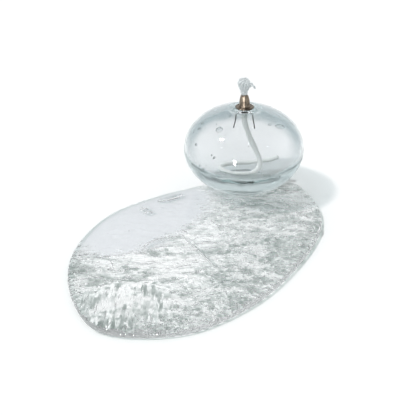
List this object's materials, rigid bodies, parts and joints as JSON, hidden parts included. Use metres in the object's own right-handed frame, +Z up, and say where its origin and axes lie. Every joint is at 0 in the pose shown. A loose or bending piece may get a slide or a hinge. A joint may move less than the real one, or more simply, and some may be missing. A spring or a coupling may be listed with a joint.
{
  "type": "oil lamp",
  "caption": "Round hand-blown clear glass oil lamp with a brass wick holder and braided wick, standing on a pebble-shaped clear glass plate.",
  "frame": {"origin": "middle of the plate's flat underside", "axes": "+Z up, +Y along the plate's long axis towards the end where the lamp stands"},
  "size_m": [0.1793, 0.2989, 0.1137],
  "materials": {
    "bowl_glass": "clear, faintly grey-green, hand blown with small bubbles",
    "plate_glass": "clear, faintly green, rippled surface with bubbles, fire-polished rim",
    "brass": "spun and lightly aged, satin to bright",
    "spring_steel": "dark, drawn",
    "cotton": "white braided cotton, frayed at the top"
  },
  "bodies": {
    "plate": {"plate": "plate_glass"},
    "bowl": {"glass_bowl": "bowl_glass"},
    "holder": {"collar_disc": "brass", "wick_bell": "brass", "wick_sleeve": "spring_steel", "clip_ring": "spring_steel", "wick_tail": "cotton"},
    "leg_right": {"spring_leg_right": "spring_steel"},
    "leg_left": {"spring_leg_left": "spring_steel"},
    "wick": {"wick_tip": "cotton"}
  },
  "joints": [
    {"name": "lamp_lift", "type": "slide", "parent": "plate", "child": "bowl", "axis": [0, 0, 1], "range_m": [0, 0.06]},
    {"name": "holder_lift", "type": "slide", "parent": "bowl", "child": "holder", "axis": [0, 0, 1], "range_m": [0, 0.024], "deforming": ["wick_tail"]},
    {"name": "leg_flex_right", "type": "hinge", "parent": "holder", "child": "leg_right", "pos_m": [-0.01448, 0.10705, 0.08215], "axis": [-0.5592, 0.829, 0], "range_deg": [0, 21]},
    {"name": "leg_flex_left", "type": "hinge", "parent": "holder", "child": "leg_left", "pos_m": [-0.02352, 0.10095, 0.08215], "axis": [0.5592, -0.829, 0], "range_deg": [0, 21]},
    {"name": "wick_feed", "type": "slide", "parent": "holder", "child": "wick", "axis": [0, 0, 1], "range_m": [0, 0.008]}
  ],
  "couplings": [
    {"joint": "leg_flex_right", "follows": "holder_lift", "rad_per_m": 14.8},
    {"joint": "leg_flex_left", "follows": "holder_lift", "rad_per_m": 14.8}
  ]
}
